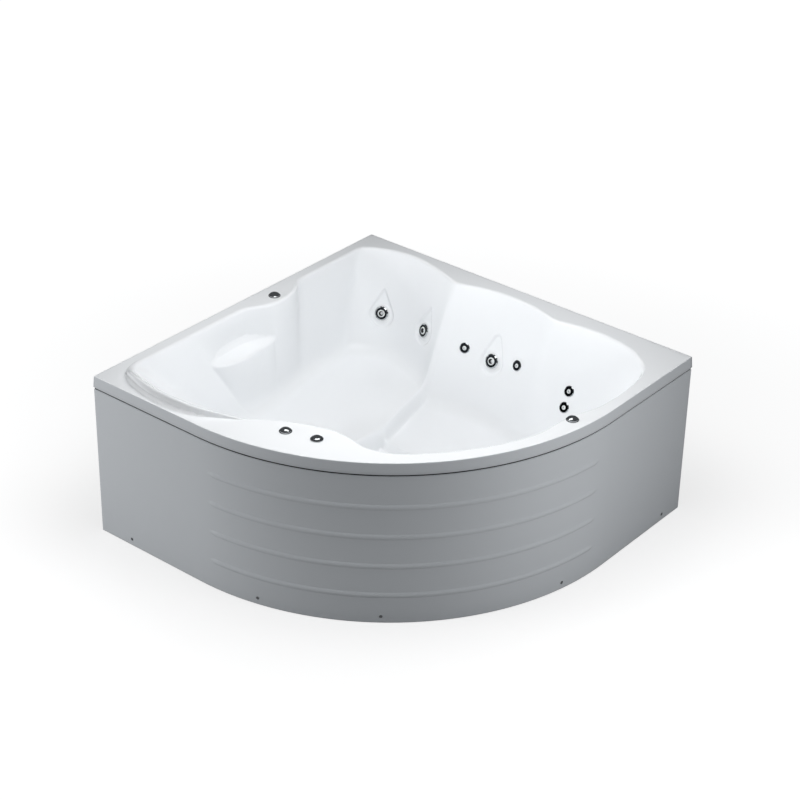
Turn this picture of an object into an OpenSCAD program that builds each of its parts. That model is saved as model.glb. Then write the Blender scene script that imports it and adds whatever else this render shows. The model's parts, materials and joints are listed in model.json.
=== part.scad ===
// Jetted corner bathtub: moulded acrylic shell with three bathing places, a bowed front panel,
// water jets with their pipes and pump, a waste with its overflow, and a levelled steel frame.
// Frame: origin on the floor under the middle of the square that the tub fills, +Z up,
// the back wall at +Y, the left wall at -X, and the bowed front towards +X and -Y.

/* [Tub] */
// Side of the square corner that the tub fills
side = 1500; // [1400:10:1600]
// Height of the rim above the floor
rim_h = 640; // [600:5:680]
// Depth of the lip that hangs from the rim
lip_h = 44; // [35:1:60]
// Thickness of the shell
shell_t = 6; // [5:0.5:8]
// Radius of the roll at the inner edge of the rim
roll_r = 12; // [9:1:16]
// Straight return of the panel next to each wall
return_l = 495; // [450:5:540]

/* [Basin] */
// Height of the lounge floor
lounge_z = 250; // [235:1:265]
// Height of the seat floor
seat_z = 200; // [190:1:215]
// Height of the footwell floor
well_z = 165; // [155:1:175]
// Radius of the fillet between floor and walls
floor_fillet = 60; // [45:1:70]
// Height of the headrest above the rim
ridge_h = 40; // [20:1:50]
// Width of the armrest moulded in the left wall
arm_w = 76; // [40:1:90]
// Height of the armrest
arm_z = 500; // [480:1:520]

/* [Panel and frame] */
// Thickness of the front panel
panel_t = 4; // [3:0.5:6]
// Dark gap between the lip and the panel
joint_gap = 3; // [2:0.5:6]
// Pitch of the panel's four beads
bead_pitch = 117.5; // [100:0.5:125]
// Height of the lowest bead's middle
bead_z = 115; // [95:1:125]
// Height of the panel's screws
screw_z = 27; // [20:1:36]
// Outer size of the frame's square tube
rail = 25; // [20:1:30]
// Wall of the frame's square tube
rail_wall = 2; // [1.5:0.5:3]
// Thickness of the board under the footwell
board_t = 18; // [12:1:22]
// Diameter of the feet's studs
stud_d = 12; // [10:1:14]

/* [Jets and controls] */
// Diameter of a large jet's flange
jet_d = 66; // [60:1:72]
// Diameter of a small jet's flange
mini_d = 42; // [38:1:46]
// Diameter of the knobs' rings on the rim
knob_d = 45; // [40:1:50]
// Diameter of the suction grille
suction_d = 96; // [84:1:104]
// Diameter of the waste's flange
waste_d = 70; // [64:1:80]
// How far the waste plug lifts
plug_lift = 8; // [5:1:12]

/* [Pump and pipes] */
// Diameter of the pump's motor
motor_d = 130; // [110:1:136]
// Length of the pump's motor
motor_l = 240; // [200:5:280]
// Diameter of the water pipes
pipe_d = 40; // [32:1:44]
// Height of the water pipe behind the jets
water_z = 306; // [300:1:320]
// Height of the air pipe behind the jets
air_z = 505; // [490:1:520]

/* [Hidden] */
$fn = 48;

// Clearances: between pieces that move past each other, round a turning pin, round a bolt
gap = 0.3;
fit = 0.1;
loose = 0.5;

half = side / 2;
plan = side / 1500;
bow_r = side - return_l;
bow_c = [return_l - half, half - return_l];
lip_flare = 4;
edge_r = 5;

function lerp(a, b, f) = a + (b - a) * f;
function smooth(f) = let(c = max(0, min(1, f))) c * c * (3 - 2 * c);
function unit(v) = v / norm(v);

// Outer outline of the rim: u runs 0-1 along the right return, 1-2 the back wall,
// 2-3 the left wall, 3-4 the front return and 4-5 the bow.
function edge(u) =
    u <= 1 ? [half, lerp(bow_c.y, half, u)] :
    u <= 2 ? [lerp(half, -half, u - 1), half] :
    u <= 3 ? [-half, lerp(half, -half, u - 2)] :
    u <= 4 ? [lerp(-half, bow_c.x, u - 3), -half] :
    bow_c + bow_r * [sin(90 * (u - 4)), -cos(90 * (u - 4))];
// Direction straight out of the outline, with both walls' directions at a corner
function edge_n(u) =
    u == 1 ? [1, 1] : u == 2 ? [-1, 1] : u == 3 ? [-1, -1] :
    u < 1 ? [1, 0] : u < 2 ? [0, 1] : u < 3 ? [-1, 0] : u <= 4 ? [0, -1] :
    [sin(90 * (u - 4)), -cos(90 * (u - 4))];

// Arc from a through m to b, at the fraction f of its sweep
function centre3(a, m, b) =
    let(p = m - a, q = b - a, d = 2 * (p.x * q.y - p.y * q.x), pp = p * p, qq = q * q)
    a + [q.y * pp - p.y * qq, p.x * qq - q.x * pp] / d;
function turn(a, b) = atan2(a.x * b.y - a.y * b.x, a * b);
function arc3(a, m, b, f) =
    let(flat = abs((m - a).x * (b - a).y - (m - a).y * (b - a).x) < 40)
    flat ? lerp(a, b, f) :
    let(c = centre3(a, m, b), w = turn(a - c, m - c) + turn(m - c, b - c), r = a - c)
    c + [r.x * cos(w * f) - r.y * sin(w * f), r.x * sin(w * f) + r.y * cos(w * f)];

// The basin's edge and foot in sectors, anticlockwise from the right end of the bow.
// Each row: stations, edge through and to, foot through and to, outline position at the end.
sector_start = [[690, 212], [592, 205]];
sectors = [
    [5, [703, 400], [676, 546], [600, 320], [565, 400], 1],
    [4, [606, 614], [500, 656], [525, 430], [455, 440], 1.16],
    [6, [360, 668], [217, 635], [330, 448], [195, 480], 1.355],
    [10, [-8, 683], [-233, 630], [-10, 505], [-240, 468], 1.655],
    [6, [-345, 674], [-466, 700], [-340, 540], [-455, 570], 1.79],
    [5, [-590, 690], [-673, 647], [-560, 568], [-640, 520], 2],
    [3, [-692, 635], [-700, 612], [-660, 498], [-667, 470], 2.07],
    [6, [-700, 440], [-697, 257], [-667, 360], [-667, 258], 2.325],
    [9, [-634, 108], [-694, -34], [-632, 110], [-603, -34], 2.52],
    [9, [-695, -300], [-695, -560], [-600, -110], [-598, -185], 2.86],
    [4, [-685, -613], [-655, -652], [-585, -250], [-540, -292], 3],
    [8, [-468, -712], [-289, -685], [-400, -312], [-255, -322], 3.93],
    [6, [-222, -650], [-149, -602], [-212, -390], [-150, -482], 4.08],
    [8, [-22, -515], [120, -467], [-25, -425], [108, -378], 4.305],
    [4, [187, -469], [250, -484], [165, -372], [222, -380], 4.385],
    [4, [318, -471], [378, -439], [270, -374], [312, -352], 4.47],
    [8, [524, -277], [633, -67], [437, -213], [535, -35], 4.78],
    [4, [648, 15], [650, 95], [556, 25], [567, 85], 4.89],
    [4, [662, 150], [690, 212], [582, 145], [592, 205], 5]];
function edge_from(k) = k == 0 ? sector_start[0] : sectors[k - 1][2];
function foot_from(k) = k == 0 ? sector_start[1] : sectors[k - 1][4];
function out_from(k) = k == 0 ? 0 : sectors[k - 1][5];
// Edge point, foot point and outline position at the fraction f of sector k
function station(k, f) = [
    plan * arc3(edge_from(k), sectors[k][1], sectors[k][2], f),
    plan * arc3(foot_from(k), sectors[k][3], sectors[k][4], f),
    lerp(out_from(k), sectors[k][5], f)];
// Stations crowd towards a sector's ends, where the wall turns
stations = [for (k = [0:len(sectors) - 1]) for (i = [0:sectors[k][0] - 1])
    let(f = i / sectors[k][0]) station(k, lerp(f, smooth(f), 0.5))];
ns = len(stations);
function around(i) = (i + ns) % ns;
// One pass of averaging rounds the upright edges between the bays
function eased(i, j) =
    (stations[around(i - 1)][j] + 2 * stations[i][j] + stations[around(i + 1)][j]) / 4;

// Floor levels: the riser runs along Y through the basin's middle, the footwell's step along X
mid = plan * [-165, 135];
step_y = plan * 120;
function riser_x(y) = plan * (-168 - 0.23 * max(0, y / plan - 145));
function riser_w(y) = plan * lerp(14, 36, smooth((300 - y / plan) / 600));
function floor_z(p) =
    let(a = smooth(0.5 + (p.x - riser_x(p.y)) / (2 * riser_w(p.y))),
        b = smooth(0.5 + (step_y - p.y) / (plan * 44)))
    lerp(lounge_z, lerp(seat_z, well_z, b), a);
function floor_up(p) =
    unit([floor_z(p - [1, 0]) - floor_z(p + [1, 0]), floor_z(p - [0, 1]) - floor_z(p + [0, 1]), 2]);

// Height of the headrest's crest over the rim
ridge_from = -695;
ridge_to = -149;
function crest(p) =
    let(x = p.x / plan, a = (x - ridge_from) / 155, b = (x + 400) / (ridge_to + 400))
    p.y > -500 * plan || x > ridge_to ? 0 :
    ridge_h * (1 - pow(1 - min(1, a), 2)) * (1 - pow(max(0, b), 1.5));
// Width of the armrest along the left wall
arm_from = -325;
arm_to = 60;
function arm(p) =
    let(f = (p.y / plan - arm_from) / (arm_to - arm_from))
    p.x > -600 * plan || f <= 0 || f >= 1 ? 0 : arm_w * pow(sin(180 * f), 0.8);

function bend(a, b, c, f) = lerp(lerp(a, b, f), lerp(b, c, f), f);
function at_z(p, z) = [p.x, p.y, z];
// The wall between its foot and its edge, pushed to both sides of the armrest
function wall_point(e, f, z0, z1, z, w, n) =
    let(g = (z - z0) / (z1 - z0), q = lerp(f, e, g),
        lo = smooth((z - z0) / (arm_z - z0)), up = smooth((z1 - z) / (z1 - arm_z)),
        d = z < arm_z ? 0.55 * w * lo : -0.45 * w * up)
    at_z(q - n * d, z);

// Profile of the shell's upper face at station i, from the basin's middle to the lip's foot
floor_f = [0.1, 0.4, 0.7];
wall_f = [0.15, 0.35];
function profile(i) =
    let(e = eased(i, 0), f = eased(i, 1), u = stations[i][2], o = edge(u), on = edge_n(u),
        h = crest(e), w = arm(e), z0 = floor_z(f), z1 = rim_h + h,
        n = unit(o - e), a = f + unit(mid - f) * floor_fillet,
        zb = z0 + floor_fillet, za = arm_z - 10, zc = arm_z + 10, zt = z1 - roll_r,
        b = wall_point(e, f, z0, z1, zb, w, n), t = wall_point(e, f, z0, z1, zt, w, n),
        rise = 4 + h * 0.3, base = e + n * (roll_r + rise), top = o - on * (lip_flare + edge_r))
    concat(
        [for (s = floor_f) let(p = lerp(mid, a, s)) at_z(p, floor_z(p))],
        [at_z(a, floor_z(a))],
        [for (s = [0.3, 0.65]) bend(at_z(a, floor_z(a)), at_z(f, z0), b, s)],
        [b],
        [for (z = [lerp(zb, za, 0.4), lerp(zb, za, 0.8), za, zc, lerp(zc, zt, 0.5)])
            wall_point(e, f, z0, z1, z, w, n)],
        [t, bend(t, at_z(e, z1), at_z(e + n * roll_r, z1), 0.5), at_z(e + n * roll_r, z1)],
        [at_z(e + n * (roll_r + rise * 0.8), lerp(z1, rim_h, 0.25)),
         at_z(base, lerp(z1, rim_h, 0.85)), at_z(base + n * 8, rim_h)],
        [at_z(top, rim_h),
         at_z(o - on * (lip_flare + edge_r * 0.3), rim_h - edge_r * 0.3),
         at_z(o - on * lip_flare, rim_h - edge_r),
         at_z(o, rim_h - lip_h)]);
rings = [for (i = [0:ns - 1]) profile(i)];
nr = len(rings[0]);
// Rings of the underside, which lie one shell thickness behind the upper face
under = concat([for (j = [0:14]) j], [16, 17]);
function normal(i, j) =
    let(along = rings[around(i + 1)][j] - rings[around(i - 1)][j],
        down = rings[i][j + 1] - rings[i][max(0, j - 1)])
    unit(cross(down, along));
function under_point(i, j) = rings[i][j] - shell_t * normal(i, j);
function under_rim(i) =
    let(u = stations[i][2], o = edge(u), on = edge_n(u))
    [at_z(o - on * (lip_flare + shell_t + 1), rim_h - shell_t),
     at_z(o - on * shell_t, rim_h - lip_h)];

module shell_skin() {
    lower = [for (i = [0:ns - 1])
        concat([for (j = under) under_point(i, j)], under_rim(i))];
    nu = len(lower[0]);
    upper_pts = [for (r = rings) each r];
    lower_pts = [for (r = lower) each r];
    first = ns * nr;
    centre_top = first + ns * nu;
    centre_low = centre_top + 1;
    points = concat(upper_pts, lower_pts,
        [at_z(mid, floor_z(mid)), at_z(mid, floor_z(mid)) - shell_t * floor_up(mid)]);
    faces = concat(
        [for (i = [0:ns - 1]) let(a = i * nr, b = around(i + 1) * nr) each concat(
            [[centre_top, b, a]],
            [for (j = [0:nr - 2]) each [[a + j, b + j, b + j + 1], [a + j, b + j + 1, a + j + 1]]])],
        [for (i = [0:ns - 1]) let(a = first + i * nu, b = first + around(i + 1) * nu) each concat(
            [[centre_low, a, b]],
            [for (j = [0:nu - 2]) each [[a + j, b + j + 1, b + j], [a + j, a + j + 1, b + j + 1]]])],
        [for (i = [0:ns - 1])
            let(a = i * nr + nr - 1, b = around(i + 1) * nr + nr - 1,
                c = first + i * nu + nu - 1, d = first + around(i + 1) * nu + nu - 1)
            each [[a, b, d], [a, d, c]]]);
    polyhedron(points, faces, convexity = 6);
}

// Where a fitting's axis meets the wall: point and direction into the basin
function wall_at(k, f, z) =
    let(s = station(k, f), a = station(k, f - 0.01), b = station(k, f + 0.01),
        z0 = floor_z(s[1]), g = (z - z0) / (rim_h - z0),
        p = lerp(s[1], s[0], g), up = at_z(s[0] - s[1], rim_h - z0),
        along = lerp(b[1], b[0], g) - lerp(a[1], a[0], g),
        n = unit(cross(up, at_z(along, 0))))
    [at_z(p, z), n * at_z(mid - p, 0) > 0 ? n : -n];
module on_wall(w) {
    n = w[1];
    translate(w[0]) rotate([0, acos(n.z), atan2(n.y, n.x)]) children();
}
// Point on a fitting's axis where it crosses the plane y = py behind the wall
function behind(w, py) = w[0] + w[1] * ((py - w[0].y) / w[1].y);
function depth_to(w, py) = (w[0].y - py) / w[1].y;

// Seats cut flat in the wall: on hollow walls, and on walls that swell into the basin
hollow_seat = [0.8, 4.5];
swell_seat = [2.5, 6];
jets = [wall_at(5, 0.577, 400), wall_at(4, 0.553, 409), wall_at(3, 0.502, 404)];
minis = [wall_at(3, 0.779, 419), wall_at(3, 0.25, 427), wall_at(2, 0.449, 427), wall_at(2, 0.428, 372)];
suction = wall_at(13, 0.42, 238);
overflow = wall_at(15, 0.6, rim_h - 100);
knobs = [[-half + 71, plan * 109], [plan * 2, plan * -582], [half - 71, plan * 108]];
button = plan * [114, -552];
waste = plan * [130, -130];

jet_bore = jet_d / 2 - 6;
mini_bore = mini_d / 2 - 8;
knob_bore = knob_d / 2 - 11;
suction_bore = suction_d / 2 - 18;
overflow_bore = 18;
waste_bore = waste_d / 2 - 10;
nut_lap = 6;

// One fitting's cuts: the seat in front, the bore, and the nut's seat behind
module wall_cut(w, seat, r, bore) {
    on_wall(w) {
        translate([0, 0, -seat[0]]) cylinder(r = r + 1.5, h = 12);
        translate([0, 0, -20]) cylinder(r = bore + loose, h = 30);
        translate([0, 0, -seat[1] - 20]) cylinder(r = bore + nut_lap + 2, h = 20);
    }
}
module deck_cut(p, bore) {
    translate([p.x, p.y, rim_h - 20]) cylinder(r = bore + loose, h = 40);
}
module tub_shell() {
    color("white")
    difference() {
        shell_skin();
        for (w = jets) wall_cut(w, hollow_seat, jet_d / 2, jet_bore);
        for (w = minis) wall_cut(w, hollow_seat, mini_d / 2, mini_bore);
        wall_cut(suction, swell_seat, suction_d / 2, suction_bore);
        wall_cut(overflow, hollow_seat, 32, overflow_bore);
        for (p = knobs) deck_cut(p, knob_bore);
        deck_cut(button, knob_bore);
        translate([waste.x, waste.y, well_z - 20]) cylinder(r = waste_bore + loose, h = 40);
    }
}

// Levels and plan of what stands under and around the shell
rail_top = well_z - shell_t - board_t;
rail_low = rail_top - rail;
rim_under = rim_h - shell_t;
panel_inset = 3;
panel_in = panel_inset + panel_t;
panel_top = rim_h - lip_h - joint_gap;
flat_t = 3;
rail_out = panel_in + 2 * flat_t;
rail_x = half - rail_out - rail / 2;
bow_end = rail / 2 + 3;
bow_foot = bow_c.x + bow_end;

// The tub's outline drawn in by d
module outline(d) {
    translate([-half + d, bow_c.y]) square([side - 2 * d, half - d - bow_c.y]);
    translate([-half + d, -half + d]) square([bow_c.x + half - d, side - 2 * d]);
    intersection() {
        translate(bow_c) circle(r = bow_r - d, $fn = 180);
        translate([bow_c.x - 1, -half]) square([side, bow_c.y + half + 1]);
    }
}

// Board under the footwell, with a clear hole round the waste
module well_board() {
    color("tan")
    translate([0, 0, rail_top])
    linear_extrude(board_t)
    difference() {
        translate(plan * [-90, -290]) square(plan * [420, 370]);
        translate(waste) circle(r = waste_d / 2 + 15);
    }
}
// Boards on edge that carry the lounge and the seat
bearer_t = 35;
cross_a = plan * -420;
cross_b = plan * 300;
module bearer(x, y0, y1, level) {
    translate([x - bearer_t / 2, y0, rail_top])
        cube([bearer_t, y1 - y0, level - shell_t - rail_top]);
}
module floor_bearers() {
    color("tan") {
        bearer(cross_a, plan * -230, plan * 480, lounge_z);
        bearer(cross_b, plan * 160, plan * 370, seat_z);
    }
}

// Square tube along X, from x0 to x1 about the line y
module tube_x(x0, x1, y) {
    translate([x0, y - rail / 2, rail_low])
    difference() {
        cube([x1 - x0, rail, rail]);
        translate([-1, rail_wall, rail_wall])
            cube([x1 - x0 + 2, rail - 2 * rail_wall, rail - 2 * rail_wall]);
    }
}
module tube_y(y0, y1, x) {
    rotate([0, 0, 90]) tube_x(y0, y1, -x);
}
// The feet stand under the frame's corners, the bow's ends and its middle
feet = [[-rail_x, rail_x], [rail_x, rail_x], [-rail_x, -rail_x], [bow_foot, -rail_x],
    [rail_x, -bow_foot], [1, -1] * (bow_foot + rail_x - rail / 2) / 2];
module foot_holes() {
    for (p = feet) translate([p.x, p.y, rail_low - 1]) cylinder(d = stud_d + 2 * fit, h = rail_wall + 2);
}
module frame_long() {
    color("silver")
    difference() {
        union() {
            tube_x(-half + rail_out, half - rail_out, rail_x);
            tube_x(-half + rail_out, bow_foot + rail / 2, -rail_x);
        }
        foot_holes();
    }
}
module frame_side() {
    color("silver")
    difference() {
        union() {
            tube_y(-rail_x + rail / 2, rail_x - rail / 2, -rail_x);
            tube_y(-bow_foot - rail / 2, rail_x - rail / 2, rail_x);
        }
        foot_holes();
    }
}
// The chord under the bow runs from the front tube to the right-hand tube
module bow_tube(x0, x1) {
    p = feet[5];
    translate([p.x, p.y, 0]) rotate([0, 0, 45]) tube_x(x0, x1, 0);
}
module frame_bow() {
    color("silver")
    difference() {
        bow_tube(-half, half);
        translate([-side, -side - rail_x + rail / 2, 0]) cube([2 * side, side, side]);
        translate([rail_x - rail / 2, -side, 0]) cube([side, 2 * side, side]);
        foot_holes();
    }
}
tie_y = plan * 60;
module frame_cross() {
    color("silver") {
        tube_y(-rail_x + rail / 2, rail_x - rail / 2, cross_a);
        difference() {
            tube_y(-half, rail_x - rail / 2, cross_b);
            translate([feet[5].x, feet[5].y, 0]) rotate([0, 0, 45])
                translate([-side, rail / 2 - side, 0]) cube([2 * side, side, side]);
        }
        tube_x(cross_a + rail / 2, cross_b - rail / 2, tie_y);
    }
}
posts = [[-rail_x, rail_x], [rail_x, rail_x], [-rail_x, -rail_x], [bow_foot, -rail_x],
    [rail_x, -bow_foot], [plan * -233, rail_x]];
module frame_posts() {
    color("silver")
    for (p = posts)
        translate([p.x, p.y, (rail_top + rim_under) / 2])
        difference() {
            cube([rail, rail, rim_under - rail_top], center = true);
            cube([rail - 2 * rail_wall, rail - 2 * rail_wall, side], center = true);
        }
}

// Places along the panel: the two returns, then angles on the bow
return_at = plan * 505;
bow_at = [-75, -45, -15];
block_in = panel_in + 8;
block_w = 40;
block_d = 24;
module round_panel() {
    translate([-return_at, -half, 0]) children();
    translate([half, return_at, 0]) rotate([0, 0, 90]) children();
    for (a = bow_at)
        translate([bow_c.x, bow_c.y, 0]) rotate([0, 0, a + 90])
            translate([0, -bow_r, 0]) children();
}
module rim_blocks() {
    color("tan")
    round_panel()
        translate([-block_w / 2, block_in, panel_top])
            cube([block_w, block_d, rim_under - panel_top]);
}

// A levelling foot: pad, cone and stud in one piece
pad_d = 34;
pad_h = 8;
module foot(k) {
    p = feet[k];
    color("dimgray")
    translate([p.x, p.y, 0]) {
        cylinder(d = pad_d, h = pad_h);
        translate([0, 0, pad_h]) cylinder(d1 = pad_d - 8, d2 = stud_d + 4, h = 8);
        cylinder(d = stud_d, h = rail_top - rail_wall - 2);
    }
}
foot_nut_h = 10;
module foot_nuts() {
    color("silver")
    for (p = feet)
        translate([p.x, p.y, rail_low - foot_nut_h])
        difference() {
            cylinder(d = stud_d * 1.8, h = foot_nut_h, $fn = 6);
            translate([0, 0, -1]) cylinder(d = stud_d + 2 * fit, h = foot_nut_h + 2);
        }
}

// Front panel: thin sheet with flanged ends and top, and four beads round the bow
panel_floor = 2;
post_play = 1;
flange_w = 25;
bead_count = 4;
bead_r = 7.5;
bead_sweep = [-86.5, -4.5];
bead_thin = 0.6;
bead_lap = 3;
bead_end = 30;
bead_dip = 9;
// Top of the swept band that carries the beads
band_top = bead_z + (bead_count - 1) * bead_pitch + 4 * bead_r;
module panel_front(d, wide) {
    translate([-half + d, -half - 1]) square([side, wide + 1]);
    translate([half - wide, -half]) square([wide + 1, side - d]);
    translate(bow_c) mirror([0, 1]) square([side, side]);
}
module panel_walls() {
    intersection() {
        difference() {
            outline(panel_inset);
            outline(panel_in);
        }
        panel_front(panel_inset, flange_w + panel_inset);
    }
}
module panel_flange() {
    intersection() {
        difference() {
            outline(panel_inset);
            outline(flange_w + panel_inset);
        }
        panel_front(panel_inset, flange_w + panel_inset);
    }
}
// Sweep of a profile round the bow, over the beads' length
module on_bow() {
    translate([bow_c.x, bow_c.y, 0]) rotate([0, 0, bead_sweep[0]])
        rotate_extrude(angle = bead_sweep[1] - bead_sweep[0], $fn = 180) children();
}
// Bow's wall with its beads, one profile
module panel_bow() {
    r = bow_r - panel_in;
    tall = band_top - panel_floor;
    on_bow() {
        translate([r, panel_floor]) square([panel_t, tall]);
        intersection() {
            for (k = [0:bead_count - 1]) translate([r, bead_z + k * bead_pitch]) circle(r = bead_r);
            translate([r + panel_t / 2, panel_floor]) square([bead_r, tall]);
        }
    }
}
// Ends of one bead, each a round bar that dips into the wall
module bead_tips(z) {
    r = bow_r - panel_in;
    for (k = [0, 1])
        translate([bow_c.x, bow_c.y, z]) rotate([0, 0, bead_sweep[k]])
        intersection() {
            translate([r, 0, 0]) rotate([0, 0, k == 0 ? -bead_dip : bead_dip])
                rotate([k == 0 ? 90 : -90, 0, 0])
                translate([0, 0, -bead_lap]) cylinder(r = bead_r - bead_thin, h = bead_lap + bead_end);
            translate([r + panel_t / 2, -bead_end - 1, -bead_r])
                cube([bead_r, 2 * bead_end + 2, 2 * bead_r]);
        }
}
screw_d = 5;
screws = [[-plan * 594, -half + panel_inset, -90], [half - panel_inset, plan * 633, 0]];
screw_bow = [-76, -51, -12.3];
module at_screws() {
    for (s = screws) translate([s.x, s.y, screw_z]) rotate([0, 90, s.z]) children();
    for (a = screw_bow)
        translate([bow_c.x, bow_c.y, screw_z]) rotate([0, 0, a])
            translate([bow_r - panel_inset, 0, 0]) rotate([0, 90, 0]) children();
}
module front_panel() {
    color("white")
    difference() {
        union() {
            difference() {
                translate([0, 0, panel_floor]) linear_extrude(panel_top - panel_floor) panel_walls();
                on_bow() translate([bow_r - flange_w, 0]) square([2 * flange_w, band_top]);
            }
            translate([0, 0, panel_top - panel_t]) linear_extrude(panel_t) panel_flange();
            panel_bow();
            for (k = [0:bead_count - 1]) bead_tips(bead_z + k * bead_pitch);
        }
        at_screws() translate([0, 0, -panel_t - 5]) cylinder(d = screw_d + 2 * fit, h = panel_t + 10);
        for (p = posts) translate([p.x, p.y, panel_top])
            cube([rail + 2 * post_play, rail + 2 * post_play, 3 * panel_t], center = true);
    }
}
// Flat steel bar behind the panel's foot, which takes the screws
bar_z = 12;
bar_h = 30;
module panel_rail() {
    color("silver")
    difference() {
        translate([0, 0, bar_z]) linear_extrude(bar_h)
        intersection() {
            difference() {
                outline(panel_in);
                outline(panel_in + flat_t);
            }
            panel_front(panel_in, panel_in + flat_t + 1);
        }
        at_screws() translate([0, 0, -rail_out]) cylinder(d = screw_d + 2 * fit, h = rail_out + 5);
    }
}
// Flat arms that hold the bar: two straps on the tubes, three gussets from the chord
module panel_arms() {
    color("silver") {
        translate([-return_at, -half + panel_in + flat_t, bar_z]) cube([bar_h, flat_t, rail_top - bar_z]);
        translate([half - rail_out, return_at, bar_z]) cube([flat_t, bar_h, rail_top - bar_z]);
        for (a = bow_at)
            difference() {
                translate([bow_c.x, bow_c.y, 0]) rotate([0, 0, a]) translate([0, flat_t / 2, 0])
                rotate([90, 0, 0]) linear_extrude(flat_t)
                    polygon([[bow_r / 2, rail_low], [bow_r - 120, rail_low],
                        [bow_r - panel_in - flat_t, bar_z], [bow_r - panel_in - flat_t, bar_z + bar_h],
                        [bow_r - 120, rail_top], [bow_r / 2, rail_top]]);
                translate([feet[5].x, feet[5].y, 0]) rotate([0, 0, 45])
                    translate([-side, -rail / 2, 0]) cube([2 * side, side, side]);
            }
    }
}
module panel_screws() {
    color("lightgray")
    at_screws() {
        intersection() {
            cylinder(d = 12, h = 2.4);
            translate([0, 0, -7]) sphere(r = 9.4);
        }
        translate([0, 0, -rail_out + 2]) cylinder(d = screw_d, h = rail_out - 2);
    }
}

// Large jet, about its axis, with the flange's seat at z = -hollow_seat[0]
jet_len = 60;
flange_t = 2.5;
ball_r = jet_d / 2 - 13;
ball_z = -7;
eye_tilt = 15;
tail_r = 13;
man_y = half - 62;
module jet_body(k) {
    s = hollow_seat;
    color("white")
    on_wall(jets[k])
    difference() {
        union() {
            translate([0, 0, -s[0]]) cylinder(r = jet_d / 2, h = flange_t);
            translate([0, 0, -34]) cylinder(r = jet_bore, h = 34);
            translate([0, 0, -s[1] - 12]) cylinder(r = jet_bore + nut_lap, h = 12);
            translate([0, 0, -44]) cylinder(r1 = tail_r + 3, r2 = jet_bore, h = 10);
            translate([0, 0, -jet_len]) cylinder(r = tail_r + 3, h = 20);
        }
        translate([0, 0, -30]) cylinder(r = jet_bore - 2.5, h = 60);
        translate([0, 0, -jet_len - 1]) cylinder(r = tail_r - 3, h = 60);
    }
}
module jet_bezel(k) {
    s = hollow_seat;
    front = flange_t - s[0] + gap;
    color("silver")
    on_wall(jets[k])
    difference() {
        union() {
            translate([0, 0, front]) cylinder(r = jet_d / 2 - 5, h = 2);
            translate([0, 0, front + 2]) cylinder(r1 = jet_d / 2 - 5, r2 = jet_d / 2 - 10, h = 3);
            translate([0, 0, -21]) cylinder(r = jet_bore - 2.5 - gap, h = 21 + front);
        }
        translate([0, 0, ball_z]) sphere(r = ball_r + gap);
        translate([0, 0, ball_z]) cylinder(r = ball_r * 0.72, h = 40, center = true);
        for (a = [0:60:300]) rotate([0, 0, a])
            translate([jet_d / 2 - 3, 0, front - 1]) cylinder(r = 4, h = 12, $fn = 32);
    }
}
module jet_eye(k) {
    color("white")
    on_wall(jets[k]) translate([0, 0, ball_z])
    difference() {
        sphere(r = ball_r);
        translate([0, 0, ball_r * 0.8]) cylinder(r = ball_r, h = ball_r);
        translate([0, 0, -ball_r * 1.8]) cylinder(r = ball_r, h = ball_r);
        cylinder(r = ball_r * 0.3, h = 3 * ball_r, center = true);
        translate([0, 0, ball_r * 0.4]) cylinder(r1 = ball_r * 0.3, r2 = ball_r * 0.5, h = ball_r * 0.41);
    }
}
// Small jet, its ball held in the chrome flange itself
mini_len = 46;
mini_ball = mini_d / 2 - 11;
mini_z = -4;
module mini_body(k) {
    s = hollow_seat;
    color("silver")
    on_wall(minis[k])
    difference() {
        union() {
            translate([0, 0, -s[0]]) cylinder(r = mini_d / 2, h = flange_t - 1);
            translate([0, 0, flange_t - 1 - s[0]]) cylinder(r1 = mini_d / 2, r2 = mini_d / 2 - 3, h = 1.5);
            translate([0, 0, -mini_len]) cylinder(r = mini_bore, h = mini_len);
            translate([0, 0, -s[1] - 10]) cylinder(r = mini_bore + nut_lap, h = 10);
        }
        translate([0, 0, mini_z]) sphere(r = mini_ball + gap);
        translate([0, 0, mini_z]) cylinder(r = mini_ball * 0.8, h = 20);
        translate([0, 0, -mini_len - 1]) cylinder(r = mini_ball * 0.6, h = 50);
    }
}
module mini_eye(k) {
    color("white")
    on_wall(minis[k]) translate([0, 0, mini_z])
    difference() {
        sphere(r = mini_ball);
        translate([0, 0, mini_ball * 0.8]) cylinder(r = mini_ball, h = mini_ball);
        translate([0, 0, -mini_ball * 1.8]) cylinder(r = mini_ball, h = mini_ball);
        cylinder(r = mini_ball * 0.32, h = 3 * mini_ball, center = true);
    }
}

// Air control on the rim: ring, valve tube and nut, and the turning knob
valve_l = 62;
spindle_d = 8;
module air_valve(k) {
    color("silver")
    translate([knobs[k].x, knobs[k].y, rim_h])
    difference() {
        union() {
            cylinder(d = knob_d, h = 2);
            translate([0, 0, -valve_l]) cylinder(r = knob_bore, h = valve_l);
            translate([0, 0, -shell_t - 10]) cylinder(r = knob_bore + 3, h = 10);
        }
        translate([0, 0, -40]) cylinder(d = spindle_d + 2 * fit, h = 60);
    }
}
module air_knob(k) {
    r = knob_d / 2 - 2;
    dome = 9;
    big = (r * r + dome * dome) / (2 * dome);
    color("silver")
    translate([knobs[k].x, knobs[k].y, rim_h + 2 + gap]) {
        difference() {
            union() {
                cylinder(r = r, h = 3);
                intersection() {
                    translate([0, 0, 3]) cylinder(r = r, h = dome + 1);
                    translate([0, 0, 3 + dome - big]) sphere(r = big, $fn = 96);
                }
            }
            for (a = [0, 120, 240]) rotate([0, 0, a]) translate([r, 0, -1]) cylinder(r = 2.5, h = 3);
        }
        translate([0, 0, -38]) cylinder(d = spindle_d, h = 39);
    }
}
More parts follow.
